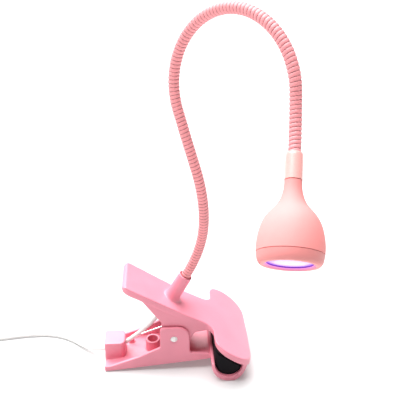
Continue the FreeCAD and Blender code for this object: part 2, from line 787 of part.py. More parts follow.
def make_head_collar():
    """The sleeve that grips the hose, with a threaded spigot inside the shell's neck."""
    return turned(
        [
            (HOSE_RADIUS, 0.0),
            (HOSE_RADIUS + 0.5, 0.0),
            (COLLAR_RADIUS - 0.15, 0.7),
            (COLLAR_RADIUS, 1.8),
            (COLLAR_RADIUS + 0.1, COLLAR_LENGTH),
            (3.2, COLLAR_LENGTH),
            (3.2, COLLAR_LENGTH + 6.0),
            (2.0, COLLAR_LENGTH + 6.0),
            (2.0, HOSE_STUB),
            (HOSE_RADIUS, HOSE_STUB),
        ],
        HEAD_AT,
        HEAD_AXIS,
    )


def make_head_shell():
    """The bell-shaped upper shell of the head."""
    outside = [(4.8, SHELL_START), (5.0, 20.5), (6.1, 25.0), (8.5, 29.6), (12.0, 33.6),
               (15.4, 39.2), (17.2, 45.5), (HEAD_RADIUS, 51.5), (HEAD_RADIUS - 0.1, SEAM_AT)]
    inside = [(HEAD_RADIUS - 0.1 - WALL, SEAM_AT), (HEAD_RADIUS - WALL, 51.0), (15.3, 45.0),
              (13.2, 39.5), (9.4, 34.5), (5.2, 29.5), (3.2, 25.0)]
    loop = edge_loop([
        outside,
        [outside[-1], inside[0]],
        inside,
        [inside[-1], (3.2, SHELL_START)],
        [(3.2, SHELL_START), outside[0]],
    ])
    return curved_turned(loop, HEAD_AT, HEAD_AXIS)


def make_bezel_ring():
    """The lower ring of the head, rolled in to the lens opening, with a lip that locates it."""
    outside = [(HEAD_RADIUS - 0.15, SEAM_AT + 0.3), (17.2, 58.0), (16.4, 60.0), (15.1, BEZEL_END)]
    lip = HEAD_RADIUS - 0.1 - WALL - 0.05
    loop = edge_loop([
        outside,
        [outside[-1], (OPENING_RADIUS + OPENING_BEVEL, BEZEL_END)],
        [(OPENING_RADIUS + OPENING_BEVEL, BEZEL_END), (OPENING_RADIUS, BEZEL_END - OPENING_BEVEL)],
        [(OPENING_RADIUS, BEZEL_END - OPENING_BEVEL), (OPENING_RADIUS, BEZEL_END - LENS_SEAT)],
        [(OPENING_RADIUS, BEZEL_END - LENS_SEAT), (14.2, BEZEL_END - LENS_SEAT)],
        [(14.2, BEZEL_END - LENS_SEAT), (14.2, SEAM_AT - 2.0)],
        [(14.2, SEAM_AT - 2.0), (lip, SEAM_AT - 2.0)],
        [(lip, SEAM_AT - 2.0), (lip, SEAM_AT + 0.3)],
        [(lip, SEAM_AT + 0.3), outside[0]],
    ])
    return curved_turned(loop, HEAD_AT, HEAD_AXIS)


def head_disc(radius, start, thick, bore=0.0):
    inner = max(bore, 0.0)
    ring = [(inner, start), (radius, start), (radius, start + thick), (inner, start + thick)]
    return turned(ring, HEAD_AT, HEAD_AXIS)


LENS_AT = BEZEL_END - LENS_SEAT - 1.6
BOARD_AT = 50.6


def around_head(count, radius, start_angle=0.0):
    """Points set evenly round the head's axis, at distance zero along it."""
    spin = Rotation(Vector(0, 0, 1), HEAD_AXIS)
    for k in range(count):
        angle = math.radians(start_angle + 360.0 / count * k)
        offset = Vector(radius * math.cos(angle), radius * math.sin(angle), 0)
        yield HEAD_AT + spin.multVec(offset)


def make_lens():
    """The clear disc behind the bezel, slightly domed outwards within its opening."""
    return turned(
        [
            (0, LENS_AT),
            (LENS_RADIUS, LENS_AT),
            (LENS_RADIUS, LENS_AT + 1.5),
            (OPENING_RADIUS - 0.4, LENS_AT + 1.5),
            (OPENING_RADIUS - 4.0, LENS_AT + 2.0),
            (0, LENS_AT + 2.2),
        ],
        HEAD_AT,
        HEAD_AXIS,
    )


def make_reflector():
    """The bright cup between the light board and the lens."""
    return turned(
        [
            (8.6, BOARD_AT + 1.3),
            (9.4, BOARD_AT + 1.3),
            (13.3, LENS_AT - 0.9),
            (13.3, LENS_AT - 0.1),
            (12.2, LENS_AT - 0.1),
        ],
        HEAD_AT,
        HEAD_AXIS,
    )


def make_lens_gasket():
    return head_disc(14.0, LENS_AT, 1.5, LENS_RADIUS + 0.05)


SCREW_HOLE = 1.05
SCREW_CIRCLE = 11.9


def make_led_board():
    """The aluminium board that carries the light chips, with holes for its two screws."""
    board = head_disc(13.6, BOARD_AT, 1.2, 0)
    for point in around_head(2, SCREW_CIRCLE):
        board = board.cut(rod(point + HEAD_AXIS * (BOARD_AT - 1), HEAD_AXIS, 4, SCREW_HOLE))
    return board


def make_led_chips():
    """Three ultraviolet chips, each a square body with a domed lens."""
    spin = Rotation(Vector(0, 0, 1), HEAD_AXIS)
    half, height, dome = 1.75, 1.0, 1.4
    chips = []
    for point in around_head(3, 4.2, 30):
        body = Part.makeBox(2 * half, 2 * half, height, Vector(-half, -half, 0))
        body = body.fuse(Part.makeSphere(dome, Vector(0, 0, height)).common(
            Part.makeCylinder(dome, dome + 1, Vector(0, 0, height - 0.2))))
        body.Placement = FreeCAD.Placement(point + HEAD_AXIS * (BOARD_AT + 1.2), spin)
        chips.append(body.removeSplitter())
    return Part.makeCompound(chips)


def make_heat_sink():
    """A turned aluminium slug behind the board, with three cooling ribs."""
    profile = [(2.4, 41.0), (5.0, 41.0), (5.0, 43.0), (13.0, 43.0), (13.0, 44.2), (6.5, 44.2),
               (6.5, 45.6), (13.8, 45.6), (13.8, 46.8), (6.5, 46.8), (6.5, 48.2), (14.0, 48.2),
               (14.0, BOARD_AT - 0.02), (2.4, BOARD_AT - 0.02)]
    sink = turned(profile, HEAD_AT, HEAD_AXIS)
    for point in around_head(2, SCREW_CIRCLE):
        sink = sink.cut(rod(point + HEAD_AXIS * 44.5, HEAD_AXIS, 8, SCREW_HOLE))
    return sink


def make_board_screws():
    """Two pan-head screws that hold the board to the heat sink."""
    screws = []
    for point in around_head(2, SCREW_CIRCLE):
        shank = rod(point + HEAD_AXIS * 47.0, HEAD_AXIS, BOARD_AT + 1.2 - 47.0, SCREW_HOLE - 0.05)
        cap = rod(point + HEAD_AXIS * (BOARD_AT + 1.2), HEAD_AXIS, 0.8, 1.5)
        screws.append(shank.fuse(cap).removeSplitter())
    return Part.makeCompound(screws)


def make_driver_board():
    """The small current-limiting board in the shell's neck, above the heat sink."""
    spin = Rotation(Vector(0, 0, 1), HEAD_AXIS)
    board = Part.makeBox(7.0, 1.0, 8.5, Vector(-3.5, 1.0, 0))
    for k in range(2):
        board = board.fuse(Part.makeBox(1.6, 0.8, 3.0, Vector(-2.6 + 3.4 * k, 0.2, 2.0)))
    board.Placement = FreeCAD.Placement(HEAD_AT + HEAD_AXIS * 31.5, spin)
    return board.removeSplitter()


def make_head_wires():
    return rod(HEAD_AT + HEAD_AXIS * 1.0, HEAD_AXIS, 29.5, 1.2)


# ---- cord, switch and plug ----
def make_cord_coil():
    ring = Part.makeCylinder(COIL_OUTER, 2 * CORD_RADIUS * COIL_LAYERS, Vector(*COIL_CENTRE, 0))
    return ring.cut(Part.makeCylinder(COIL_INNER, 50, Vector(*COIL_CENTRE, -1)))


def make_cord_tie():
    """A soft wire tie round the bundle of turns, on the side towards the lamp."""
    x, y = COIL_CENTRE
    middle = (COIL_INNER + COIL_OUTER) / 2
    thick, wide = 0.8, 5.0
    height = 2 * CORD_RADIUS * COIL_LAYERS
    depth = COIL_OUTER - COIL_INNER
    outer = Part.makeBox(depth + 2 * thick, wide, height + thick,
                         Vector(x + middle - depth / 2 - thick, y - wide / 2, 0))
    inner = Part.makeBox(depth + 0.1, wide + 2, height + 0.05,
                         Vector(x + middle - depth / 2 - 0.05, y - wide / 2 - 1, -0.02))
    return outer.cut(inner)


SWITCH_WIDE = 14.0
SWITCH_TALL = 9.2
SWITCH_WALL = 1.4
SLIDER_TRAVEL = 4.0
SLOT_LONG = 11.0
SLOT_WIDE = 5.0


def switch_block(low_z, high_z, inset=0.0):
    x, y, _ = SWITCH_CENTRE
    wide, long = SWITCH_WIDE / 2 - inset, SWITCH_LENGTH / 2 - inset
    corner = 4.0 - inset
    outline = [(x - wide, y - long, corner), (x + wide, y - long, corner),
               (x + wide, y + long, corner), (x - wide, y + long, corner)]
    return plan_profile(outline, low_z, high_z)


def make_switch_base():
    body = switch_block(0, SWITCH_TALL / 2)
    body = body.cut(switch_block(SWITCH_WALL, SWITCH_TALL, SWITCH_WALL))
    return body.cut(switch_cord_bore())


def switch_cord_bore():
    x, y, z = SWITCH_CENTRE
    start = Vector(x, y - SWITCH_LENGTH, z)
    return rod(start, Vector(0, 1, 0), 2 * SWITCH_LENGTH, CORD_RADIUS + FIT)


def make_switch_cover():
    x, y, _ = SWITCH_CENTRE
    body = switch_block(SWITCH_TALL / 2, SWITCH_TALL)
    body = body.cut(switch_block(0, SWITCH_TALL - SWITCH_WALL, SWITCH_WALL))
    slot = Part.makeBox(SLOT_WIDE, SLOT_LONG, 10, Vector(x - SLOT_WIDE / 2, y - SLOT_LONG / 2, 5))
    return body.cut(slot).cut(switch_cord_bore())


def make_switch_slider():
    """The sliding button: a ribbed cap above the slot and a wider foot below it."""
    x, y, _ = SWITCH_CENTRE
    cap_long, stem_wide = 6.4, SLOT_WIDE - 2 * GAP
    start = y - SLOT_LONG / 2 + GAP
    roof = SWITCH_TALL - SWITCH_WALL
    stem = Part.makeBox(stem_wide, cap_long, 4.6, Vector(x - stem_wide / 2, start, roof - 1.4))
    foot = Part.makeBox(9.0, cap_long, 1.2, Vector(x - 4.5, start, roof - 1.2 - GAP))
    slider = stem.fuse(foot)
    for k in range(3):
        groove = across(0, 0, 10, 0.4)
        groove.rotate(Vector(0, 0, 0), Vector(0, 0, 1), 90)
        groove.translate(Vector(x, start + 1.6 + 1.6 * k, roof + 3.2))
        slider = slider.cut(groove)
    return slider.removeSplitter()


def make_switch_contacts():
    """Two brass leaf contacts on the floor of the housing."""
    x, y, _ = SWITCH_CENTRE
    leaves = []
    for side in (-1, 1):
        leaf = Part.makeBox(1.6, 14.0, 0.5, Vector(x + side * 2.4 - 0.8, y - 7.0, SWITCH_WALL + 0.02))
        rise = Part.makeBox(1.6, 1.0, 1.6, Vector(x + side * 2.4 - 0.8, y - 0.5, SWITCH_WALL + 0.4))
        leaves.append(leaf.fuse(rise).removeSplitter())
    return Part.makeCompound(leaves)


PLUG_AT = PLUG_ROUTE[-1]
RELIEF_LENGTH = 8.0
GRIP_LENGTH = 21.0
SHELL_LENGTH = 12.0


def make_plug_grip():
    """The moulded grip of the USB plug with its tapered strain relief."""
    x, y, z = PLUG_AT
    relief = Part.makeCone(CORD_RADIUS + 0.5, 3.1, RELIEF_LENGTH, Vector(x, y, z), Vector(1, 0, 0))
    grip = Part.makeBox(GRIP_LENGTH, 15.6, 7.9, Vector(x + RELIEF_LENGTH, y - 7.8, z - 3.95))
    long_edges = [e for e in grip.Edges if abs(e.tangentAt(0).x) > 0.9]
    grip = grip.makeFillet(2.6, long_edges)
    grip = grip.fuse(relief)
    socket = Part.makeBox(6.0, 12.0, 4.5, Vector(x + RELIEF_LENGTH + GRIP_LENGTH - 5.0, y - 6.0, z - 2.25))
    return grip.cut(socket).removeSplitter()


def make_plug_shell():
    """The folded steel shell of the plug, open at its front, with two latch windows on each face."""
    x, y, z = PLUG_AT
    start = x + RELIEF_LENGTH + GRIP_LENGTH - 5.0
    total = SHELL_LENGTH + 5.0
    shell = Part.makeBox(total, 12.0, 4.5, Vector(start, y - 6.0, z - 2.25))
    shell = shell.cut(Part.makeBox(total, 11.4, 3.9, Vector(start + 0.4, y - 5.7, z - 1.95)))
    for side in (-1, 1):
        window = Part.makeBox(2.2, 2.2, 9.0, Vector(start + 10.0, y + side * 2.9 - 1.1, z - 4.5))
        shell = shell.cut(window)
    return shell


def make_plug_tongue():
    """The insulating tongue inside the plug's shell."""
    x, y, z = PLUG_AT
    start = x + RELIEF_LENGTH + GRIP_LENGTH - 4.5
    return Part.makeBox(SHELL_LENGTH + 4.0, 11.2, 1.8, Vector(start, y - 5.6, z - 1.9))


def make_plug_contacts():
    """Four gold-plated strips on the tongue."""
    x, y, z = PLUG_AT
    start = x + RELIEF_LENGTH + GRIP_LENGTH + 2.0
    strips = [
        Part.makeBox(8.0, 1.0, 0.25, Vector(start, y - 4.0 + 2.4 * k, z - 0.1))
        for k in range(4)
    ]
    return Part.makeCompound(strips)


# ---- assembly ----
CLIP_CABLE, CLIP_CABLE_LENGTH = make_clip_cable()
LEAD, LEAD_LENGTH = route_tube(LEAD_ROUTE, CORD_RADIUS, "cord_lead")
COIL_END, COIL_END_LENGTH = route_tube(TAIL_ROUTE, CORD_RADIUS, "cord_to_switch")
PLUG_CORD, PLUG_CORD_LENGTH = route_tube(PLUG_ROUTE, CORD_RADIUS, "cord_to_plug")

NODES = {
    "lower_lever": make_lower_lever(),
    "hinge_pin": make_hinge_pin(),
    "clip_spring": make_clip_spring(),
    "lower_jaw_pad": make_lower_pad(),
    "clip_cable": CLIP_CABLE,
    "upper_lever": make_upper_lever(),
    "upper_jaw_pad": make_upper_pad(),
    "hose_fitting": make_hose_fitting(),
    "hose_nut": make_hose_nut(),
    "head_collar": make_head_collar(),
    "head_shell": make_head_shell(),
    "bezel_ring": make_bezel_ring(),
    "lens": make_lens(),
    "lens_gasket": make_lens_gasket(),
    "reflector": make_reflector(),
    "led_board": make_led_board(),
    "led_chips": make_led_chips(),
    "heat_sink": make_heat_sink(),
    "board_screws": make_board_screws(),
    "driver_board": make_driver_board(),
    "head_wires": make_head_wires(),
    "cord_lead": LEAD,
    "cord_coil": make_cord_coil(),
    "cord_tie": make_cord_tie(),
    "cord_to_switch": COIL_END,
    "switch_base": make_switch_base(),
    "switch_cover": make_switch_cover(),
    "switch_slider": make_switch_slider(),
    "switch_contacts": make_switch_contacts(),
    "cord_to_plug": PLUG_CORD,
    "plug_grip": make_plug_grip(),
    "plug_shell": make_plug_shell(),
    "plug_tongue": make_plug_tongue(),
    "plug_contacts": make_plug_contacts(),
}
for arc in range(len(NECK_ARCS)):
    NODES[f"neck_section_{arc + 1}"] = make_neck_section(arc)
    NODES[f"neck_wires_{arc + 1}"] = make_neck_wires(arc)

CORD_NODES = [name for name in NODES if name.startswith(("cord_", "switch_", "plug_"))]


def middle_of_lamp():
    """The middle, seen from above, of everything but the cord and what is on it."""
    box = FreeCAD.BoundBox()
    for name, shape in NODES.items():
        if name not in CORD_NODES:
            box.add(shape.optimalBoundingBox(True, False))
    print("lamp box", box)
    return Vector((box.XMin + box.XMax) / 2, (box.YMin + box.YMax) / 2, 0)


MIDDLE = middle_of_lamp()
os.makedirs("parts", exist_ok=True)
for name, shape in NODES.items():
    shape.translate(-MIDDLE)
    solids = len(shape.Solids)
    if not shape.isValid() or solids == 0:
        print("BAD", name, shape.ShapeType, solids)
    shape.exportStep(f"parts/{name}.step")
print("nodes", len(NODES), "pivot moved by", [round(-v, 4) for v in MIDDLE])
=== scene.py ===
import math

import bmesh
import bpy
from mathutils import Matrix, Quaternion, Vector


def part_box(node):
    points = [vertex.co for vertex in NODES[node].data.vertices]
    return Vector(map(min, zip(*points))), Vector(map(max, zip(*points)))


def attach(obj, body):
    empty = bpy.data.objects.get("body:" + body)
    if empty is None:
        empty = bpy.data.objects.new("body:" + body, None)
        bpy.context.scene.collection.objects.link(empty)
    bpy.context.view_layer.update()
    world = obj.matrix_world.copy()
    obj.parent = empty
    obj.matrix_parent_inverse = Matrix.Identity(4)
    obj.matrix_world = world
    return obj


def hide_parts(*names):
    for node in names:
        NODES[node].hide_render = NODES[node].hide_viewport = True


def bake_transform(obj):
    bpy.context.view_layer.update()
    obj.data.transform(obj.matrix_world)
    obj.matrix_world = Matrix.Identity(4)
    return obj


# Ultraviolet nail lamp: a pink spring clip with a ribbed gooseneck, a bell-shaped head and a cord.
# Points and lengths are written in millimetres from the hinge pin's foot, as the model is drawn,
# and at() turns them into the frame's metres.

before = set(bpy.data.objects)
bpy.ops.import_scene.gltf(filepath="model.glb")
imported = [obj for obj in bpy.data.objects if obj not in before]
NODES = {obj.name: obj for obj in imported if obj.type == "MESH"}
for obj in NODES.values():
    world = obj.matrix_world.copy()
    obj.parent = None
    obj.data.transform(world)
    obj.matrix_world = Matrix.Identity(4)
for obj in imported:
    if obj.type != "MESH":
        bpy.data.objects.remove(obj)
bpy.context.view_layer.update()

low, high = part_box("hinge_pin")
PIN = (low + high) / 2
FOOT = Vector((PIN.x, PIN.y, 0.0))

CORD_RADIUS = 1.6
LEAD_ROUTE = [                # from the block on the clip's tail to the coil
    (-52.5, 0.0, 8.0),
    (-60.5, 1.6, 5.6),
    (-70.0, 9.0, 3.2),
    (-82.0, 20.4, 1.8),
    (-97.0, 27.0, 1.6),
    (-116.0, 27.6, 1.6),
    (-135.0, 24.6, 1.6),
    (-152.0, 23.8, 1.6),
    (-167.0, 25.0, 1.6),
]
COIL_CENTRE = (-167.0, -2.2)
COIL_RADII = (27.2, 11.2)     # outermost and innermost turn
COIL_TURNS = 5                # in each of the two layers
COIL_STEPS = 16               # points in each turn
TAIL_ROUTE = [                # from the coil to the switch
    (-194.2, -2.2, 4.8),
    (-194.6, -11.4, 4.7),
    (-194.0, -21.4, 4.6),
    (-194.2, -29.8, 4.6),
]
PLUG_ROUTE = [                # from the switch to the plug
    (-194.2, -59.8, 4.6),
    (-194.0, -67.8, 3.2),
    (-191.0, -78.3, 1.7),
    (-182.0, -86.3, 1.7),
    (-170.0, -88.8, 2.6),
    (-160.0, -88.8, 4.0),
]

# Gooseneck arcs from the clip to the head: length, turn forwards and turn sideways in degrees.
NECK_ARCS = [
    (44.0, -24.0, 13.0),
    (50.5, -21.5, -19.0),
    (39.0, -1.0, -11.5),
    (48.0, 49.0, 25.5),
    (53.0, 55.1, 41.9),
    (54.4, 58.5, 38.8),
    (33.35, -30.3, 14.9),
]
LEVER_SLOPE = 28.4
NECK_LEAN = 3.6
SOCKET_FOOT = Vector((-0.6, 0.0, 54.42))
SOCKET_LENGTH = 22.0
STUB_BELOW = 14.0             # hose inside the socket
STUB_ABOVE = 8.0              # hose inside the head's collar
HOSE_RADIUS = 3.6
RIB_PITCH = 2.47
RIB_DEPTH = 0.55
RIB_ROUNDNESS = 3.96          # at 4 the ribs' flanks would stand square to the hose
RIB_STEPS = 10                # rings in each rib
GROOVE_SHARE = 0.45           # a face sunk by more than this share of the ribs' depth takes the painted groove shade

SPRING_RADIUS = 4.9
SPRING_WIRE = 0.8
SPRING_LEG_Y = 9.4
LOWER_LEG_X = -34.5
LOWER_LEG_FALL = 21.6
UPPER_LEG_TURN = 131.7        # degrees round the pin from its lowest point
UPPER_LEG_END = (-21.5, 59.5)
SPRING_TURNS = 11
SPRING_STEPS = 26             # points in each turn
LEG_SPACING = 0.0005          # metres between the points of a leg
CABLE_SPACING = 0.0007        # metres between the points of the clip's cable
PIVOT_Z = 28.0

CABLE_ROUTE = [               # from the block on the tail up towards the socket
    (-42.65, 0.02, 8.82),
    (-25.65, 0.42, 21.22),
    (-11.4, 0.2, 36.4),
]
CABLE_IN_SOCKET = 7.0         # how far below the socket's foot the cable ends

CAMERA_PLACE = Vector((-2.387, -391.499, 305.623))   # millimetres from the hinge pin
CAMERA_TILT = 27.0            # degrees below level
CAMERA_TURN = 3.3             # degrees round to the right
CAMERA_LENS = 57.6            # millimetres, on a sensor 36 mm wide
LAMP_MIDDLE = Vector((0.0, -30.0, 100.0))            # where the lights point

OPENING_RADIUS = 12.05        # the painted shadow on the wall round the lens ends here
SLOPE_RADIUS = 12.2           # the painted violet light on the slope starts here
LIP_RADIUS = 13.0             # the painted violet light fades beyond this
OFF_AXIS = 20.0               # the widest distance from the head's axis that matters
# deep violet base colour painted on the wall next to the lens as its shadow
PAINTED_SHADOW_VIOLET = (0.13, 0.01, 0.27)
CLIP_PINK = (0.80, 0.26, 0.34)
HOSE_PINK = (0.85, 0.31, 0.33)
HEAD_PINK = (0.88, 0.30, 0.29)
WHITE = (0.80, 0.79, 0.77)


def at(x, y, z):
    return FOOT + Vector((x, y, z)) / 1000


# ---- camera ----
def make_camera():
    data = bpy.data.cameras.new("camera")
    data.sensor_width = 36.0
    data.lens = CAMERA_LENS
    camera = bpy.data.objects.new("camera", data)
    bpy.context.scene.collection.objects.link(camera)
    camera.location = PIN + CAMERA_PLACE / 1000
    tilt, turn = math.radians(CAMERA_TILT), math.radians(CAMERA_TURN)
    level = math.cos(tilt)
    forward = Vector((math.sin(turn) * level, math.cos(turn) * level, -math.sin(tilt)))
    camera.rotation_euler = forward.to_track_quat("-Z", "Y").to_euler()
    bpy.context.scene.camera = camera


# ---- node materials ----
class Shader:
    """A material's node tree, with short names for the nodes that this scene uses."""

    def __init__(self, name):
        self.material = bpy.data.materials.new(name)
        self.material.use_nodes = True
        self.tree = self.material.node_tree
        self.surface = self.tree.nodes["Principled BSDF"]
        self.place = self.tree.nodes.new("ShaderNodeTexCoord").outputs["Object"]

    def join(self, source, target):
        self.tree.links.new(source, target)

    def feed(self, source, name):
        """Lets a node drive the surface's input with that name."""
        self.join(source, self.surface.inputs[name])

    def fix(self, name, value):
        """Gives the surface's input with that name one even value."""
        self.surface.inputs[name].default_value = value

    def noise(self, scale, detail, stretch=None):
        node = self.tree.nodes.new("ShaderNodeTexNoise")
        node.inputs["Scale"].default_value = scale
        node.inputs["Detail"].default_value = detail
        place = self.place
        if stretch:
            mapping = self.tree.nodes.new("ShaderNodeMapping")
            mapping.inputs["Scale"].default_value = stretch
            self.join(place, mapping.inputs["Vector"])
            place = mapping.outputs["Vector"]
        self.join(place, node.inputs["Vector"])
        return node.outputs["Fac"]

    def ramp(self, value, stops):
        node = self.tree.nodes.new("ShaderNodeValToRGB")
        points = node.color_ramp.elements
        while len(points) < len(stops):
            points.new(0.5)
        for point, (position, colour) in zip(points, stops):
            point.position = position
            point.color = (*colour, 1.0)
        self.join(value, node.inputs["Fac"])
        return node.outputs["Color"]

    def spread(self, value, low_value, high_value):
        node = self.tree.nodes.new("ShaderNodeMapRange")
        node.inputs["From Min"].default_value = 0.3
        node.inputs["From Max"].default_value = 0.7
        node.inputs["To Min"].default_value = low_value
        node.inputs["To Max"].default_value = high_value
        self.join(value, node.inputs["Value"])
        return node.outputs["Result"]

    def off_axis(self, point, axis, far):
        """Distance from a line through point, as a share of far."""
        place = self.place
        for operation, other in (("SUBTRACT", point), ("CROSS_PRODUCT", axis)):
            node = self.tree.nodes.new("ShaderNodeVectorMath")
            node.operation = operation
            node.inputs[1].default_value = other
            self.join(place, node.inputs[0])
            place = node.outputs["Vector"]
        length = self.tree.nodes.new("ShaderNodeVectorMath")
        length.operation = "LENGTH"
        self.join(place, length.inputs[0])
        share = self.tree.nodes.new("ShaderNodeMapRange")
        share.inputs["From Max"].default_value = far
        self.join(length.outputs["Value"], share.inputs["Value"])
        return share.outputs["Result"]

    def bump(self, height, strength, depth):
        node = self.tree.nodes.new("ShaderNodeBump")
        node.inputs["Strength"].default_value = strength
        node.inputs["Distance"].default_value = depth
        self.join(height, node.inputs["Height"])
        self.join(node.outputs["Normal"], self.surface.inputs["Normal"])


def head_distance(shader):
    """Distance from the head's axis, as a share of OFF_AXIS."""
    points, _ = neck_line()
    along = (points[-1] - points[-2]).normalized()
    return shader.off_axis(points[-1], along, OFF_AXIS / 1000)


def shade(colour, factor):
    return tuple(min(1.0, c * factor) for c in colour)


def moulded_shader(name, colour, roughness, grain, grain_depth=0.00004, coat=0.0):
    """Moulded plastic or rubber: a fine grain, faint cloudy colour and uneven gloss."""
    shader = Shader(name)
    cloud = shader.noise(55.0, 4.0)
    shader.base = shader.ramp(cloud, [(0.3, shade(colour, 0.95)), (0.7, shade(colour, 1.04))])
    shader.feed(shader.base, "Base Color")
    fine = shader.noise(grain, 2.0)
    shader.feed(shader.spread(fine, roughness - 0.06, roughness + 0.06), "Roughness")
    shader.bump(fine, 0.35, grain_depth)
    shader.fix("Coat Weight", coat)
    shader.fix("Coat Roughness", 0.2)
    return shader


def moulded(*description):
    return moulded_shader(*description).material


def matt(name, colour, roughness, grain_depth):
    shader = moulded_shader(name, colour, roughness, 1500.0, grain_depth)
    shader.fix("Specular IOR Level", 0.15)
    return shader.material


def metal(name, colour, roughness, stretch=(1.0, 1.0, 1.0)):
    """Drawn or turned metal with fine scratches and a little tarnish."""
    shader = Shader(name)
    tarnish = shader.noise(130.0, 5.0)
    shader.feed(shader.ramp(tarnish, [(0.35, shade(colour, 0.82)), (0.65, colour)]), "Base Color")
    scratch = shader.noise(700.0, 6.0, stretch)
    shader.feed(shader.spread(scratch, roughness - 0.08, roughness + 0.1), "Roughness")
    shader.bump(scratch, 0.2, 0.00003)
    shader.fix("Metallic", 1.0)
    return shader.material


def glowing(name, colours, strength):
    """A lit surface whose glow is uneven, brighter where the noise is high."""
    shader = Shader(name)
    glow = shader.ramp(shader.noise(160.0, 2.0), [(0.25, colours[0]), (0.75, colours[1])])
    shader.feed(glow, "Base Color")
    shader.feed(glow, "Emission Color")
    shader.fix("Emission Strength", strength)
    shader.fix("Roughness", 0.15)
    return shader.material


def bezel_painted_light():
    """The head's pink darkened as painted shade, with a painted shadow on the wall next to the lens
    and painted violet light glowing on the slope round it.
    """
    # Painted shade: the bezel is a darker copy of the head's pink.
    shader = moulded_shader("bezel_painted_shade_and_glow", shade(HEAD_PINK, 0.82), 0.5, 1200.0, 0.00002)
    reach = head_distance(shader)
    wall, slope, lip = [r / OFF_AXIS for r in (OPENING_RADIUS, SLOPE_RADIUS, LIP_RADIUS)]
    # Painted shadow: deep violet base colour on the wall next to the lens, the head's pink beyond the
    # slope.
    mix = shader.tree.nodes.new("ShaderNodeMix")
    mix.data_type = "RGBA"
    shader.join(shader.ramp(reach, [(wall, (0.0, 0.0, 0.0)), (slope, (1.0, 1.0, 1.0))]), mix.inputs[0])
    colours = {socket.identifier: socket for socket in mix.inputs}
    colours["A_Color"].default_value = (*PAINTED_SHADOW_VIOLET, 1.0)
    shader.join(shader.base, colours["B_Color"])
    shader.feed(next(out for out in mix.outputs if out.type == "RGBA"), "Base Color")
    # Painted light: violet emission on the wall, slope and lip, as though the lens's light fell on
    # them.
    glow = shader.ramp(reach, [
        (wall, (0.06, 0.0, 0.22)),
        (slope, (0.24, 0.03, 0.50)),
        (lip, (0.10, 0.01, 0.16)),
        (lip + 0.04, (0.0, 0.0, 0.0)),
    ])
    shader.feed(glow, "Emission Color")
    shader.fix("Emission Strength", 1.0)
    return shader.material


def lit_lens():
    """The clear cover lit from behind: nearly white, turning violet towards its edge."""
    shader = Shader("lens_glow")
    reach = head_distance(shader)
    glow = shader.ramp(reach, [
        (0.1, (0.84, 0.66, 1.0)),
        (0.45, (0.72, 0.50, 1.0)),
        (0.6, (0.42, 0.16, 0.95)),
    ])
    shader.feed(glow, "Emission Color")
    shader.fix("Emission Strength", 0.75)
    shader.fix("Specular IOR Level", 0.25)
    cloudy = shader.noise(300.0, 3.0)
    tint = shader.ramp(cloudy, [(0.3, (0.08, 0.06, 0.12)), (0.7, (0.12, 0.09, 0.16))])
    shader.feed(tint, "Base Color")
    shader.feed(shader.spread(cloudy, 0.08, 0.2), "Roughness")
    return shader.material


def make_materials():
    return {
        "clip": moulded("clip_pink", CLIP_PINK, 0.36, 1100.0),
        "rubber": matt("pad_rubber", (0.004, 0.003, 0.005), 0.7, 0.00008),
        "pin": moulded("pin_white", (0.83, 0.82, 0.80), 0.25, 1200.0, 0.00002),
        "steel": metal("spring_steel", (0.72, 0.70, 0.70), 0.22, (1.0, 6.0, 1.0)),
        "cord": moulded("cord_white", WHITE, 0.42, 1600.0, 0.00003),
        "tie": moulded("tie_white", (0.70, 0.70, 0.69), 0.5, 1400.0),
        "hose": moulded("hose_pink", HOSE_PINK, 0.5, 1500.0, 0.00002),
        # painted shade: a darker copy of the hose's pink for the faces down in the grooves
        "groove": moulded("hose_groove", shade(HOSE_PINK, 0.45), 0.6, 1500.0, 0.00002),
        "wire": moulded("wire_insulation", (0.55, 0.03, 0.03), 0.45, 1800.0),
        "plate": metal("plated_steel", (0.62, 0.60, 0.58), 0.3),
        "collar": moulded("collar_pink", (0.88, 0.42, 0.39), 0.3, 1300.0, 0.00002, 0.2),
        "head": matt("head_pink", HEAD_PINK, 0.6, 0.00002),
        "bezel": bezel_painted_light(),
        "lens": lit_lens(),
        "gasket": moulded("gasket_rubber", (0.05, 0.045, 0.05), 0.6, 1500.0),
        "reflector": metal("reflector_bright", (0.85, 0.84, 0.88), 0.12),
        "board": metal("board_aluminium", (0.75, 0.75, 0.74), 0.35),
        "chip": glowing("chip_violet", ((0.30, 0.10, 1.0), (0.55, 0.30, 1.0)), 4.0),
        "sink": metal("sink_aluminium", (0.66, 0.66, 0.67), 0.3, (1.0, 1.0, 5.0)),
        "green": moulded("board_green", (0.02, 0.16, 0.06), 0.4, 900.0),
        "switch": moulded("switch_white", (0.78, 0.77, 0.75), 0.4, 1000.0),
        "slider": moulded("slider_grey", (0.42, 0.42, 0.43), 0.45, 1000.0),
        "brass": metal("contact_brass", (0.80, 0.60, 0.25), 0.25),
        "shell": metal("plug_steel", (0.70, 0.70, 0.71), 0.24, (5.0, 1.0, 1.0)),
        "tongue": moulded("tongue_white", (0.72, 0.72, 0.70), 0.4, 1100.0),
    }


def paint_node(name, material):
    slots = NODES[name].data.materials
    if len(slots) == 0:
        slots.append(material)
    for i in range(len(slots)):
        slots[i] = material


# ---- mesh helpers ----
def new_piece(name, mesh, *materials):
    piece = bpy.data.objects.new(name, mesh)
    bpy.context.scene.collection.objects.link(piece)
    for material in materials:
        mesh.materials.append(material)
    return piece


def smooth_line(points, spacing):
    """Points about spacing apart, in metres, along a smooth spline with those control points."""
    data = bpy.data.curves.new("line", "CURVE")
    data.dimensions = "3D"
    data.resolution_u = 24
    add_spline(data, points)
    carrier = bpy.data.objects.new("line", data)
    bpy.context.scene.collection.objects.link(carrier)
    bpy.context.view_layer.update()
    mesh = bpy.data.meshes.new_from_object(carrier)
    line = [vertex.co.copy() for vertex in mesh.vertices]
    bpy.data.objects.remove(carrier)
    bpy.data.meshes.remove(mesh)
    return even_line(line, spacing)


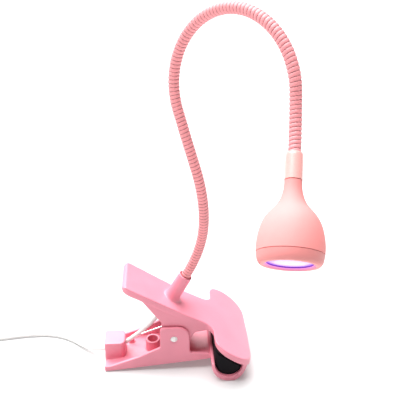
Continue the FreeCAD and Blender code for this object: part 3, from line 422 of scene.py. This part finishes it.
def even_line(line, spacing):
    """The same line with its points evenly spaced."""
    lengths = [0.0]
    for start, end in zip(line, line[1:]):
        lengths.append(lengths[-1] + (end - start).length)
    count = max(2, round(lengths[-1] / spacing))
    evened = []
    k = 0
    for i in range(count + 1):
        target = lengths[-1] * i / count
        while k < len(line) - 2 and lengths[k + 1] < target:
            k += 1
        step = lengths[k + 1] - lengths[k]
        share = (target - lengths[k]) / step if step > 0 else 0.0
        evened.append(line[k].lerp(line[k + 1], min(1.0, share)))
    return evened


def add_spline(data, points):
    spline = data.splines.new("NURBS")
    spline.points.add(len(points) - 1)
    for knot, point in zip(spline.points, points):
        knot.co = (*point, 1.0)
    spline.order_u = 3
    spline.use_endpoint_u = True


def cross_directions(line):
    """Two directions square to the line at each point, turned as little as possible along it."""
    tangents = []
    for i in range(len(line)):
        ahead, behind = line[min(i + 1, len(line) - 1)], line[max(i - 1, 0)]
        tangents.append((ahead - behind).normalized())
    side = tangents[0].orthogonal().normalized()
    frames = []
    for tangent in tangents:
        side = (side - tangent * side.dot(tangent)).normalized()
        frames.append((side, tangent.cross(side)))
    return frames


def tube_mesh(name, line, radius, around=16, crossings=None, rib=None):
    """A closed tube round a line, all in metres. On a ribbed one, rib(i, angle) gives the radius
    at each point, and the faces in the grooves take the second material, painted darker as shade."""
    mesh = bpy.data.meshes.new(name)
    bm = bmesh.new()
    rings = []
    for i, (point, (side, up)) in enumerate(zip(line, crossings or cross_directions(line))):
        ring = []
        for k in range(around):
            angle = 2 * math.pi * k / around
            reach = rib(i, angle) if rib else radius
            out = side * math.cos(angle) + up * math.sin(angle)
            ring.append((bm.verts.new(point + out * reach), reach))
        rings.append(ring)
    # faces sunk below this radius take the painted groove shade
    groove = radius - GROOVE_SHARE * RIB_DEPTH / 1000
    for first, second in zip(rings, rings[1:]):
        for k in range(around):
            after = (k + 1) % around
            corners = (first[k], first[after], second[after], second[k])
            face = bm.faces.new([vertex for vertex, _ in corners])
            face.smooth = True
            if rib and sum(reach for _, reach in corners) / len(corners) < groove:
                face.material_index = 1
    for ring in (rings[0][::-1], rings[-1]):
        bm.faces.new([vertex for vertex, _ in ring])
    bm.to_mesh(mesh)
    bm.free()
    return mesh


def soften(name, body, material, voxel, rounds, keep=0.35):
    """A copy of a CAD node whose edges are rounded as a mould leaves them."""
    source = NODES[name]
    piece = new_piece(name + "_soft", source.data.copy())
    piece.data.materials.clear()
    piece.data.materials.append(material)
    remesh = piece.modifiers.new("remesh", "REMESH")
    remesh.mode = "VOXEL"
    remesh.voxel_size = voxel
    remesh.use_smooth_shade = True
    relax = piece.modifiers.new("relax", "SMOOTH")
    relax.factor = 0.5
    relax.iterations = rounds
    thin = piece.modifiers.new("thin", "DECIMATE")
    thin.ratio = keep
    bpy.context.view_layer.update()
    graph = bpy.context.evaluated_depsgraph_get()
    finished = bpy.data.meshes.new_from_object(piece.evaluated_get(graph))
    piece.modifiers.clear()
    old = piece.data
    piece.data = finished
    bpy.data.meshes.remove(old)
    finished.name = name + "_soft"
    for polygon in finished.polygons:
        polygon.use_smooth = True
    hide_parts(name)
    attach(piece, body)
    return piece


# ---- cord ----
def coil_points():
    """Two flat layers of turns: inwards on the table, one step up, and outwards on top."""
    outer, inner = COIL_RADII
    low_z, high_z = CORD_RADIUS, 3 * CORD_RADIUS
    rise = COIL_STEPS // 4
    steps = COIL_STEPS * COIL_TURNS
    places = []
    for k in range(1, 2 * steps + rise):
        inwards = min(1.0, k / steps)
        outwards = max(0.0, (k - steps - rise) / steps)
        lift = min(1.0, max(0.0, (k - steps) / rise))
        radius = outer + (inner - outer) * (inwards - outwards)
        angle = math.pi / 2 + 2 * math.pi * k / COIL_STEPS
        z = low_z + (high_z - low_z) * lift
        x = COIL_CENTRE[0] + radius * math.cos(angle)
        y = COIL_CENTRE[1] + radius * math.sin(angle)
        places.append((x, y, z))
    return places


def make_cord(name, route, material):
    data = bpy.data.curves.new(name, "CURVE")
    data.dimensions = "3D"
    data.resolution_u = 6
    add_spline(data, [at(*point) for point in route])
    data.bevel_depth = CORD_RADIUS / 1000
    data.bevel_resolution = 5
    data.use_fill_caps = True
    data.materials.append(material)
    cord = bpy.data.objects.new(name, data)
    bpy.context.scene.collection.objects.link(cord)
    return cord


def make_cords(paint):
    tie = soften("cord_tie", "lower_clip", paint["tie"], 0.00025, 6, 0.6)
    switch = [
        soften("switch_base", "lower_clip", paint["switch"], 0.0003, 8),
        soften("switch_cover", "lower_clip", paint["switch"], 0.0003, 8),
        soften("switch_slider", "switch_slider", paint["slider"], 0.0002, 3, 0.5),
    ]
    grip = soften("plug_grip", "lower_clip", paint["switch"], 0.0003, 10)
    lead = make_cord("lead", LEAD_ROUTE + coil_points() + TAIL_ROUTE, paint["cord"])
    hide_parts("cord_lead", "cord_coil", "cord_to_switch")
    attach(lead, "lower_clip")
    plug_cord = make_cord("plug_cord", PLUG_ROUTE, paint["cord"])
    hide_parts("cord_to_plug")
    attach(plug_cord, "lower_clip")
    paint_node("switch_contacts", paint["brass"])
    paint_node("plug_contacts", paint["brass"])
    paint_node("plug_shell", paint["shell"])
    paint_node("plug_tongue", paint["tongue"])


# ---- gooseneck ----
def socket_directions():
    """The socket's axis and the two directions square to it."""
    slope = math.radians(LEVER_SLOPE)
    normal = Vector((math.sin(slope), 0.0, math.cos(slope)))
    back = Vector((0.0, 1.0, 0.0)).cross(normal)
    lean = Quaternion(back, math.radians(NECK_LEAN))
    return lean @ normal, lean @ Vector((0.0, 1.0, 0.0)), back


def neck_line():
    """Points a tenth of a rib apart along the hose, and the places in that list of its joints."""
    step = RIB_PITCH / RIB_STEPS
    along, side, back = socket_directions()
    point = SOCKET_FOOT + along * SOCKET_LENGTH
    below = round(STUB_BELOW / step)
    line = [point - along * STUB_BELOW * (below - k) / below for k in range(below + 1)]
    ends = []
    for length, turn, sideways in NECK_ARCS:
        angle = math.radians(math.hypot(turn, sideways))
        axis = (side * turn + back * sideways).normalized()
        count = round(length / step)
        centre = point + axis.cross(along) * (length / angle)
        spin = Quaternion(axis, angle / count)
        for _ in range(count):
            point = centre + spin @ (point - centre)
            along, side, back = spin @ along, spin @ side, spin @ back
            line.append(point)
        ends.append(len(line) - 1)
    above = round(STUB_ABOVE / step)
    line += [point + along * STUB_ABOVE * (k + 1) / above for k in range(above)]
    return [at(*place) for place in line], ends[:-1]


def rib_radius(place, angle):
    """Rounded ribs that wind round the hose, with a narrow groove between them."""
    phase = (place / RIB_STEPS - angle / (2 * math.pi)) % 1.0 - 0.5
    sink = RIB_DEPTH * (1 - math.sqrt(1 - RIB_ROUNDNESS * phase * phase))
    return (HOSE_RADIUS - sink) / 1000


def make_hose(paint):
    """One piece of ribbed hose over each joint, cut half way along the arcs between joints."""
    line, joints = neck_line()
    crossings = cross_directions(line)
    middles = [(a + b) // 2 for a, b in zip(joints, joints[1:])]
    cuts = [0] + middles + [len(line) - 1]
    for k, joint in enumerate(joints):
        first, last = cuts[k], cuts[k + 1]
        part = slice(first, last + 1)
        mesh = tube_mesh(f"hose_{k + 1}", line[part], HOSE_RADIUS / 1000, 24, crossings[part],
                         lambda i, angle: rib_radius(first + i, angle))
        piece = new_piece(f"hose_{k + 1}", mesh, paint["hose"], paint["groove"])
        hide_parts(f"neck_section_{k + 1}")
        if k == len(joints) - 1:
            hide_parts(f"neck_section_{k + 2}")
        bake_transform(piece)


# ---- clip ----
def spring_line():
    """The spring's wire: lower leg, winding round the pin and upper leg."""
    def round_pin(turn, y):
        return (SPRING_RADIUS * math.sin(turn), y, PIVOT_Z - SPRING_RADIUS * math.cos(turn))

    fall = math.radians(LOWER_LEG_FALL)
    first = round_pin(fall, SPRING_LEG_Y)
    last_turn = math.radians(UPPER_LEG_TURN) + 2 * math.pi * SPRING_TURNS
    leg_end = (LOWER_LEG_X, SPRING_LEG_Y, first[2] - (first[0] - LOWER_LEG_X) * math.tan(fall))
    line = even_line([at(*leg_end), at(*first)], LEG_SPACING)
    count = SPRING_STEPS * SPRING_TURNS
    for k in range(1, count + 1):
        share = k / count
        turn = fall + (last_turn - fall) * share
        line.append(at(*round_pin(turn, SPRING_LEG_Y * (1 - 2 * share))))
    upper_end = at(UPPER_LEG_END[0], -SPRING_LEG_Y, UPPER_LEG_END[1])
    return line + even_line([line[-1], upper_end], LEG_SPACING)[1:]


def make_spring(paint):
    mesh = tube_mesh("spring", spring_line(), SPRING_WIRE / 1000, 12)
    spring = new_piece("spring", mesh, paint["steel"])
    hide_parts("clip_spring")
    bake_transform(spring)


def make_clip_cable(paint):
    """The cable from the tail block up into the lever."""
    end = SOCKET_FOOT - socket_directions()[0] * CABLE_IN_SOCKET
    line = smooth_line([at(*point) for point in CABLE_ROUTE + [end]], CABLE_SPACING)
    mesh = tube_mesh("clip_lead", line, CORD_RADIUS / 1000, 24)
    cable = new_piece("clip_lead", mesh, paint["cord"])
    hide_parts("clip_cable")
    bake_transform(cable)


def make_clip(paint):
    for part, slot, material, voxel in (
        ("lever", "clip_plastic", "clip", 0.00045),
        ("jaw_pad", "pad_rubber", "rubber", 0.0005),
    ):
        for side in ("lower", "upper"):
            soften(f"{side}_{part}", f"{side}_clip", paint[material], voxel, 8)
    make_spring(paint)
    make_clip_cable(paint)
    paint_node("hinge_pin", paint["pin"])
    paint_node("hose_fitting", paint["plate"])
    paint_node("hose_nut", paint["plate"])


# ---- head ----
def make_head(paint):
    for node, material in (
        ("head_collar", "collar"),
        ("head_shell", "head"),
        ("bezel_ring", "bezel"),
        ("lens", "lens"),
        ("lens_gasket", "gasket"),
        ("reflector", "reflector"),
        ("led_board", "board"),
        ("led_chips", "chip"),
        ("heat_sink", "sink"),
        ("board_screws", "plate"),
        ("driver_board", "green"),
        ("head_wires", "wire"),
    ):
        paint_node(node, paint[material])
    for k in range(len(NECK_ARCS)):
        paint_node(f"neck_wires_{k + 1}", paint["wire"])


# ---- studio ----
def make_studio():
    world = bpy.data.worlds.new("studio")
    world.use_nodes = True
    sky = world.node_tree.nodes["Background"]
    sky.inputs["Color"].default_value = (1.0, 1.0, 1.0, 1.0)
    sky.inputs["Strength"].default_value = 0.18
    bpy.context.scene.world = world
    bpy.context.scene.view_settings.view_transform = "Standard"

    bpy.ops.mesh.primitive_plane_add(size=30.0, location=(0, 0, 0))
    floor = bpy.context.object
    floor.name = "floor"
    shader = Shader("floor_white")
    tint = shader.ramp(shader.noise(3.0, 3.0), [(0.3, (0.52, 0.52, 0.52)), (0.7, (0.55, 0.55, 0.55))])
    shader.feed(tint, "Base Color")
    shader.feed(tint, "Emission Color")
    shader.fix("Emission Strength", 0.35)
    shader.fix("Roughness", 0.9)
    shader.fix("Specular IOR Level", 0.1)
    floor.data.materials.append(shader.material)

    sun = bpy.data.lights.new("sky_softbox", "SUN")
    sun.energy = 8.8
    sun.angle = math.radians(70)
    add_light(sun, Vector((-0.25, 0.30, 1.0)))
    front = bpy.data.lights.new("front_softbox", "AREA")
    front.shape = "DISK"
    front.size = 0.7
    front.energy = 0.6
    add_light(front, Vector((-0.75, -0.60, 0.70)))


def add_light(data, offset):
    """A studio light that stands off by offset from the middle of the object and points at it."""
    light = bpy.data.objects.new(data.name, data)
    bpy.context.scene.collection.objects.link(light)
    light.location = at(*LAMP_MIDDLE) + offset
    light.rotation_euler = (-offset).to_track_quat("-Z", "Y").to_euler()


make_camera()
PAINT = make_materials()
make_cords(PAINT)
make_clip(PAINT)
make_hose(PAINT)
make_head(PAINT)
make_studio()
